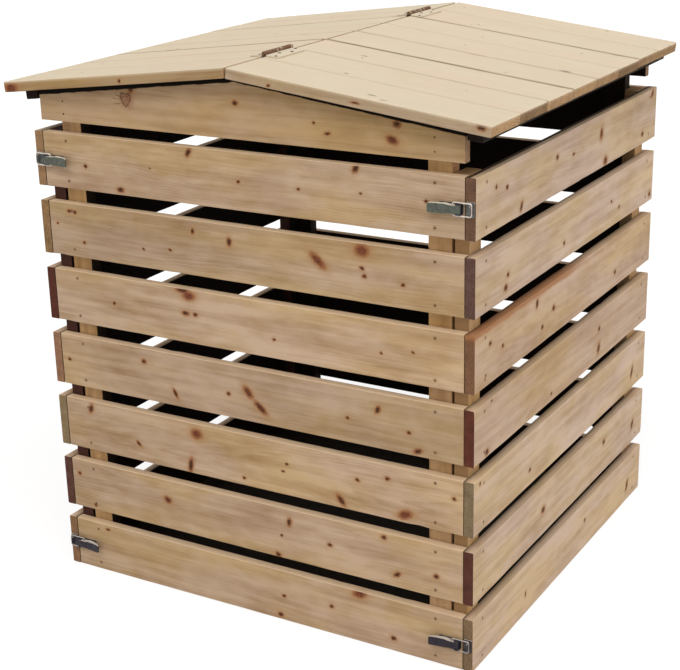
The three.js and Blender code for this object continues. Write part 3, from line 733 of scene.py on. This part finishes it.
def board_mesh(name, length, width, thickness, outline=None, end_round=END_ROUND):
    """A board with X along it, Y across it and Z out of its face, in metres.
    outline(x) gives the lowest and highest Y of a board whose edges aren't parallel."""
    rng = random.Random(f"{SEED} {name} shape")
    points, arrises = board_section(width, thickness)
    stations = board_stations(length, end_round)
    seed = Vector([rng.uniform(-100, 100) for _ in range(3)])
    nicks = [(rng.randrange(4), rng.uniform(-0.5, 0.5) * length,
              rng.uniform(0.3, 1.0) * NICK_DEPTH) for _ in range(4)]
    vertices = []
    for x, pull in stations:
        low, high = outline(x) if outline else (-width / 2, width / 2)
        for (y, z), arris in zip(points, arrises):
            flat = arris is None
            spot = (x * 0.012, y * 0.03, z) if flat else (x * 0.02, arris * 9.0, 0)
            wave = noise.noise(Vector(spot) + seed) * 0.5 + 0.5
            if flat:
                z -= math.copysign(FACE_WANDER * wave, z)
            else:
                worn = EDGE_WANDER * wave * wave
                for nick_arris, nick_x, depth in nicks:
                    if nick_arris == arris:
                        worn += depth * math.exp(-((x - nick_x) / NICK_LENGTH) ** 2)
                y -= math.copysign(worn * 0.7, y)
                z -= math.copysign(worn * 0.7, z)
            y *= 1 - pull / (width / 2)
            z *= 1 - pull / (thickness / 2)
            y = low + (y + width / 2) * (high - low) / width
            vertices.append((x * MM, y * MM, z * MM))
    ring = len(points)
    faces = []
    for station in range(len(stations) - 1):
        for at in range(ring):
            a = station * ring + at
            b = station * ring + (at + 1) % ring
            faces.append((b, a, a + ring, b + ring))
    faces.append(tuple(range(ring)))
    faces.append(tuple(reversed(range(len(vertices) - ring, len(vertices)))))
    return new_mesh(name, vertices, faces)


def new_mesh(name, vertices, faces):
    """A closed mesh whose faces look out, smooth but for its hard edges."""
    mesh = bpy.data.meshes.new(name)
    mesh.from_pydata(vertices, [], faces)
    work = bmesh.new()
    work.from_mesh(mesh)
    bmesh.ops.recalc_face_normals(work, faces=work.faces)
    work.to_mesh(mesh)
    work.free()
    smooth(mesh)
    mesh.update()
    return mesh


def smooth(mesh):
    """Smooth shading, with sharp edges where the surface turns hard."""
    mesh.polygons.foreach_set("use_smooth", [True] * len(mesh.polygons))
    mesh.set_sharp_from_angle(angle=SHARP_ANGLE)


def add_object(name, data, turn=None):
    made = bpy.data.objects.new(name, data)
    bpy.context.scene.collection.objects.link(made)
    if turn:
        made.rotation_mode = "QUATERNION"
        made.rotation_quaternion = turn
    return made


def add_piece(name, mesh, material, body, nodes=(), matrix=None):
    piece = add_object(name, mesh)
    mesh.materials.append(material)
    if matrix is not None:
        piece.matrix_world = matrix
    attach(piece, body)
    if nodes:
        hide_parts(*nodes)
    return piece


def board_matrix(centre, along, out):
    """Places a board: its X runs along, its Z points out."""
    across = out.cross(along)
    matrix = Matrix((along, across, out)).transposed().to_4x4()
    matrix.translation = centre
    return matrix


def add_board(name, size, matrix, kind, body, slot, node, outline=None,
              end_round=END_ROUND, **looks):
    """size is the board's length, width and thickness in mm."""
    material = timber_material(name, kind, size, **looks)
    mesh = board_mesh(name, *size, outline=outline, end_round=end_round)
    piece = add_piece(name + "_board", mesh, material, body, (node,), matrix)
    weighted = piece.modifiers.new("even_faces", "WEIGHTED_NORMAL")
    weighted.keep_sharp = True


def board_over(node, along, out, kind, body, slot, **looks):
    """A board in the place and of the size of a CAD node whose sides are square."""
    low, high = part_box(node)
    span = high - low
    size = tuple(abs(span.dot(direction)) / MM for direction in (along, out.cross(along), out))
    matrix = board_matrix((low + high) / 2, along, out)
    add_board(node, size, matrix, kind, body, slot, node, **looks)


def corners_of(node):
    return [vertex.co for vertex in frame["nodes"][node].data.vertices]


def batten_nodes(wall):
    ends = ("left", "right") if wall in ("front", "back") else ("front", "back")
    return [f"{wall}_batten_{end}" for end in ends]


def gable_board(wall, along, out, body):
    """A gable board, whose upper edge rises to a peak at its middle."""
    node = f"{wall}_gable"
    low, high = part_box(node)
    corner = max(corners_of(node), key=lambda co: (round(co.x, 5), co.z))
    span = high - low
    length, height, thickness = span.x / MM, span.z / MM, span.y / MM
    end_height = (corner.z - low.z) / MM

    def outline(x):
        rise = (height - end_height) * (1 - min(1, abs(x) / (length / 2)))
        return -height / 2, -height / 2 + end_height + rise

    matrix = board_matrix((low + high) / 2, along, out)
    add_board(node, (length, height, thickness), matrix, "gable", body, "end_timber", node,
              outline=outline, end_height=end_height)


def build_walls():
    """Slats, battens and gables. Returns the place and direction of each body's nails."""
    heads = {"bin": [], "front_panel": []}
    for wall, (along, out, body, kind, slot) in WALLS.items():
        battens = [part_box(node) for node in batten_nodes(wall)]
        last_batten = sum(battens[1], Vector()) / 2
        for row in range(1, SLAT_ROWS + 1):
            node = f"{wall}_slat_{row}"
            low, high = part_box(node)
            middle = (low + high) / 2
            reach = abs((last_batten - middle).dot(along))
            looks = {"nails": (reach / MM, NAIL_SPREAD)}
            if kind == "side":
                looks["edge_dirt"] = "sheltered" if node == "right_slat_1" else "open"
            for look, rows in (("tone", ROW_TONES), ("lean", ROW_LEANS), ("end_tone", END_TONES)):
                if wall in rows:
                    looks[look] = rows[wall][row - 1]
            board_over(node, along, out, kind, body, slot, **looks)
            face = middle + out * abs((high - low).dot(out)) / 2
            for sign in (-1, 1):
                for lift in (-NAIL_SPREAD, NAIL_SPREAD):
                    heads[body].append((face + along * reach * sign + Z * lift * MM, out))
        for node in batten_nodes(wall):
            side = BATTEN_SIDE_LIGHT_AND_SHADE.get(node) or BATTEN_SIDE_LIGHT_AND_SHADE.get(wall, BATTEN_SIDE_SHADE)
            board_over(node, Z, out, "batten", body, "batten_timber", side=side)
        if wall in ("front", "back"):
            gable_board(wall, along, out, body)
            low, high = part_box(f"{wall}_gable")
            y = low.y if out.y < 0 else high.y
            for batten_low, batten_high in battens:
                x = (batten_low.x + batten_high.x) / 2
                for rise in (GABLE_NAIL_RISE, GABLE_NAIL_RISE + GABLE_NAIL_STEP):
                    heads[body].append((Vector((x, y, low.z + rise * MM)), out))
    return heads


def roof_slope(node, sign):
    """The ridge and eave of a roof half's top, and its directions down the slope and out."""
    corners = corners_of(node)
    ridge = max(corners, key=lambda co: co.z)
    eave = max(corners, key=lambda co: (round(abs(co.x), 5), co.z))
    pitch = math.atan2(ridge.z - eave.z, abs(eave.x - ridge.x))
    down = Vector((sign * math.cos(pitch), 0, -math.sin(pitch)))
    out = Vector((sign * math.sin(pitch), 0, math.cos(pitch)))
    return ridge, eave, down, out


def build_roof():
    """Each roof half: eight boards that run down the slope, and two laths under them."""
    for half, sign, body in ROOF_HALVES:
        node = f"roof_half_{half}"
        rng = random.Random(f"{SEED} {half}")
        low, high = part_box(node)
        ridge, eave, down, out = roof_slope(node, sign)
        length = (eave - ridge).xz.length / MM
        cover = (high.y - low.y) / MM / ROOF_BOARDS
        joints = (0.0, *ROOF_JOINTS, 0.0)
        for board in range(ROOF_BOARDS):
            before, after = joints[board] / 2, joints[board + 1] / 2
            y = low.y + ((board + 0.5) * cover + (before - after) / 2) * MM
            short = rng.choice((0.0, 0.8, 1.6, 2.6, 3.4))
            top = Vector((ridge.x, y, ridge.z))
            centre = top + down * (length - short) / 2 * MM - out * ROOF_THICKNESS / 2 * MM
            size = (length - short, cover - before - after, ROOF_THICKNESS)
            end_tone = tinted(TIMBER_KINDS["roof"][2], rng.uniform(0.6, 1.2))
            seams = SEAM_STAINS[board:board + 2]
            add_board(f"roof_{half}_{board + 1}", size, board_matrix(centre, down, out),
                      "roof", body, "roof_timber", node, end_tone=end_tone,
                      tone=FASCIA_TONES[half] if board == 0 else 1.0,
                      end_round=ROOF_END_ROUND, stains=seams if sign > 0 else seams[::-1])
        add_laths(half, node, body, down, out, ridge)


def add_laths(half, node, body, down, out, ridge):
    """The two laths, found from the lowest parts of the CAD roof half."""
    depth = (ROOF_THICKNESS + LATH_THICKNESS / 2) * MM
    under = [co for co in corners_of(node) if (co - ridge).dot(out) < -depth]
    reach = [(co - ridge).dot(down) for co in under]
    middle = (min(reach) + max(reach)) / 2
    for name, side in (("ridge_lath", -1), ("eave_lath", 1)):
        ys, places = zip(*((co.y, r) for co, r in zip(under, reach) if (r - middle) * side > 0))
        centre = ridge + down * (min(places) + max(places)) / 2 - out * depth
        centre.y = (min(ys) + max(ys)) / 2
        size = ((max(ys) - min(ys)) / MM, LATH_WIDTH, LATH_THICKNESS)
        add_board(f"roof_{half}_{name}", size, board_matrix(centre, Y, -out),
                  "lath", body, "roof_timber", node)


# Metal

def metal_material(name, axis=None):
    """Dulled plated steel with blotches of tarnish. axis is the place of a hinge's pin,
    round which alone the metal has rusted."""
    color, roughness, tarnish, tarnish_color, top, metallic, specular = METALS[name]
    material, graph, shader = new_material(name)
    place, normal = graph.coordinates()
    patch = place.noise(0.16, 3.0, 0.6)
    if axis:
        aside = (place - (axis.x / MM, 0.0, axis.z / MM)) * (1.0, 0.0, 1.0)
        worn = patch.rise(0.3, 0.46) * tarnish * aside.apply("LENGTH").rise(7.0, 3.6)
    else:
        worn = patch.rise(0.42, 0.62) * tarnish
    shade = worn.mix(color, tarnish_color)
    # Painted highlight: faces that look up take a pale colour
    if top:
        shade = normal.parts()[2].rise(0.2, 0.6).mix(shade, top)
    graph.fill(shader, {"Base Color": shade, "Roughness": (worn * 0.3 + roughness).clamped(),
                        "Metallic": metallic, "Specular IOR Level": specular})
    return material


def softened(node, name, material, body):
    """The CAD node's shape, with its flat facets merged and its edges softened."""
    mesh = frame["nodes"][node].data.copy()
    mesh.materials.clear()
    work = bmesh.new()
    work.from_mesh(mesh)
    bmesh.ops.remove_doubles(work, verts=work.verts, dist=0.002 * MM)
    bmesh.ops.dissolve_limit(
        work, angle_limit=math.radians(1), verts=work.verts, edges=work.edges)
    work.to_mesh(mesh)
    work.free()
    smooth(mesh)
    piece = add_piece(name, mesh, material, body, (node,))
    bevel = piece.modifiers.new("soft_edges", "BEVEL")
    bevel.width = METAL_BEVEL * MM
    bevel.segments = 2
    bevel.limit_method = "ANGLE"
    bevel.angle_limit = math.radians(40)
    bevel.harden_normals = True


def round_heads(name, spots, radius, dome, lift, material, body, slot=None):
    """Domed nail or screw heads, one at each (place, out), as one piece. Their tops stand
    lift over the place."""
    vertices, faces = [], []
    turns = [2 * math.pi * step / HEAD_SIDES for step in range(HEAD_SIDES)]
    for place, out in spots:
        side = out.orthogonal().normalized()
        other = out.cross(side)
        base = len(vertices)
        for share, height in ((1.0, 0.0), (0.85, 0.6), (0.5, 0.9)):
            for angle in turns:
                ring = side * math.cos(angle) + other * math.sin(angle)
                rise = out * (dome * (height - 1) + lift)
                vertices.append(place + (ring * radius * share + rise) * MM)
        vertices.append(place + out * lift * MM)
        top = base + 2 * HEAD_SIDES
        for level in (base, base + HEAD_SIDES, top):
            for step in range(HEAD_SIDES):
                a, b = level + step, level + (step + 1) % HEAD_SIDES
                above = (len(vertices) - 1,) if level == top else (b + HEAD_SIDES, a + HEAD_SIDES)
                faces.append((a, b, *above))
        faces.append(tuple(base + step for step in reversed(range(HEAD_SIDES))))
    add_piece(name, new_mesh(name, vertices, faces), material, body)


def wire_loop(node, name, material, body):
    """A closed wire with rounded corners, in the plane and to the reach of the CAD loop."""
    low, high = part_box(node)
    centre = (low + high) / 2
    corner = LOOP_CORNER * MM
    half_x = (high.x - low.x) / 2 - WIRE_RADIUS * MM - corner
    half_z = (high.z - low.z) / 2 - WIRE_RADIUS * MM - corner
    path = []
    for quarter, (side, rise) in enumerate(QUARTERS):
        for step in range(LOOP_CORNER_STEPS + 1):
            angle = math.pi / 2 * (quarter + step / LOOP_CORNER_STEPS)
            outward = Vector((math.cos(angle), 0, math.sin(angle)))
            path.append((Vector((side * half_x, 0, rise * half_z)) + outward * corner, outward))
    vertices, faces = [], []
    for at, (place, outward) in enumerate(path):
        onward = ((at + 1) % len(path) - at) * WIRE_SIDES
        for step in range(WIRE_SIDES):
            angle = 2 * math.pi * step / WIRE_SIDES
            ring = outward * math.cos(angle) + Y * math.sin(angle)
            vertices.append(centre + place + ring * WIRE_RADIUS * MM)
            a = at * WIRE_SIDES + step
            b = at * WIRE_SIDES + (step + 1) % WIRE_SIDES
            faces.append((a, b, b + onward, a + onward))
    add_piece(name, new_mesh(name, vertices, faces), material, body, (node,))


def build_latches(metals):
    screws = []
    for level, (lever, hook, wire) in LATCH_METALS.items():
        for side in ("left", "right"):
            where = f"{level}_{side}"
            latch = "latch_" + where
            for node, piece, metal, body in (
                    ("base", "base_plate", "dark_zinc", "front_panel"),
                    ("lever", "lever_arm", lever, f"lever_{where}"),
                    ("strike", "strike_hook", hook, "bin")):
                softened(f"{latch}_{node}", f"{latch}_{piece}", metals[metal], body)
            wire_loop(f"{latch}_loop", f"{latch}_loop_wire", metals[wire], f"loop_{where}")
            low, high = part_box(f"{latch}_strike")
            plate = high.y - STRIKE_THICKNESS * MM
            for z in (low.z + STRIKE_SCREW_INSET * MM, high.z - STRIKE_SCREW_INSET * MM):
                screws.append((Vector(((low.x + high.x) / 2, plate, z)), -Y))
    round_heads("strike_screws", screws, *STRIKE_SCREW, metals["dark_zinc"], "bin", "zinc_plate")


def build_hinges(metals, axis):
    for half, sign, body in ROOF_HALVES:
        _, _, down, out = roof_slope(f"roof_half_{half}", sign)
        screws = []
        for place in ("front", "back"):
            node = f"hinge_{place}_{half}_leaf"
            softened(node, f"hinge_{place}_{half}_plate", metals["hinge"], body)
            low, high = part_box(node)
            span = (high.y - low.y) / MM - 2 * HINGE_SCREW_EDGE
            for screw in range(HINGE_SCREWS):
                inset = HINGE_SCREW_EDGE + (screw % 2) * HINGE_SCREW_STAGGER
                y = -span / 2 + span * screw / (HINGE_SCREWS - 1)
                spot = axis + down * (HINGE_LEAF_WIDTH - inset) * MM
                spot += out * (HINGE_LEAF_THICKNESS - KNUCKLE_RADIUS) * MM
                spot.y = (low.y + high.y) / 2 + sign * y * MM
                screws.append((spot, out))
        round_heads(f"hinge_{half}_screws", screws, *HINGE_SCREW, metals["rust"], body,
                    "hinge_steel")


def build_fittings(heads):
    lid_joint = next(joint for joint in frame["joints"] if joint["name"] == "lid_hinge")
    axis = Vector(lid_joint["pos_m"])
    metals = {name: metal_material(name, axis if name == "hinge" else None) for name in METALS}
    for body, spots in heads.items():
        round_heads(f"{body}_nails", spots, *NAIL_HEAD, metals["nail"], body)
    build_latches(metals)
    build_hinges(metals, axis)


# Stage

def heading(azimuth, elevation):
    """The way out from the bin at these angles. Azimuth 0 is the front, 90 the right."""
    side, rise = math.radians(azimuth), math.radians(elevation)
    return Vector((math.sin(side) * math.cos(rise), -math.cos(side) * math.cos(rise),
                   math.sin(rise)))


def add_sun(name, strength, azimuth, elevation, angle):
    """A soft lamp that shines from that side."""
    lamp = bpy.data.lights.new(name, "SUN")
    lamp.energy = strength
    lamp.angle = math.radians(angle)
    add_object(name, lamp, heading(azimuth, elevation).to_track_quat("Z", "Y"))


def add_plane(name, low_x, high_x, low_y, high_y, z, material):
    mesh = bpy.data.meshes.new(name)
    corners = [(low_x, low_y, z), (high_x, low_y, z), (high_x, high_y, z), (low_x, high_y, z)]
    mesh.from_pydata(corners, [], [(0, 1, 2, 3)])
    mesh.materials.append(material)
    plane = add_object(name, mesh)


def seen_directly(graph):
    """1 for what the camera sees, straight or in a reflection or through glass."""
    path = graph.node("LightPath").outputs
    seen = Value(graph, path["Is Camera Ray"]).apply("MAXIMUM", path["Is Glossy Ray"])
    return seen.apply("MAXIMUM", path["Is Transmission Ray"])


def build_stage():
    world = bpy.data.worlds.new("studio")
    bpy.context.scene.world = world
    world.use_nodes = True
    graph = Graph(world.node_tree)
    strength = seen_directly(graph) * (1 - AMBIENT) + AMBIENT
    sky = graph.node("Background", (1.0, 1.0, 1.0), strength)
    graph.node("OutputWorld", sky.outputs[0])

    floor = bpy.data.materials.new("floor")
    floor.use_nodes = True
    graph = Graph(floor.node_tree)
    diffuse = graph.node("BsdfDiffuse", (FLOOR_WHITE,) * 3)
    glow = graph.node("Emission", (1.0, 1.0, 1.0), FLOOR_GLOW)
    both = graph.node("MixShader", seen_directly(graph) * FLOOR_GLOW_SHARE, diffuse.outputs[0],
                      glow.outputs[0])
    graph.node("OutputMaterial", both.outputs[0])
    add_plane("floor", -FLOOR_SIZE, FLOOR_SIZE, -FLOOR_SIZE, FLOOR_SIZE, FLOOR_HEIGHT, floor)

    # A near-black patch under the open base: painted shade for the dark inside of the bin
    shade_patch, graph, shader = new_material("shade_patch")
    place, _ = graph.coordinates()
    speckle = place.noise(0.06, 6.0, 0.7)
    graph.fill(shader, {"Base Color": speckle.mix(*SHADE_PATCH_COLORS), "Roughness": 0.95})
    _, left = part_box("left_slat_7")
    right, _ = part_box("right_slat_7")
    _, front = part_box("front_slat_7")
    back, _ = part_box("back_slat_7")
    under = SHADE_PATCH_REACH * MM
    add_plane("shade_patch", left.x - under, right.x + under, front.y - under, back.y + under,
              SHADE_PATCH_HEIGHT, shade_patch)

    add_sun("key", *KEY_SUN)
    add_sun("fill", *FILL_SUN)


def build_camera():
    data = bpy.data.cameras.new("camera")
    data.lens = CAMERA_LENS
    forward = -heading(CAMERA_AZIMUTH, CAMERA_ELEVATION)
    roll = Quaternion((0, 0, 1), math.radians(CAMERA_ROLL))
    camera = add_object("camera", data, forward.to_track_quat("-Z", "Y") @ roll)
    camera.location = CAMERA_PLACE
    bpy.context.scene.camera = camera
    bpy.context.scene.view_settings.view_transform = "Standard"


nail_spots = build_walls()
build_roof()
build_fittings(nail_spots)
build_stage()
build_camera()
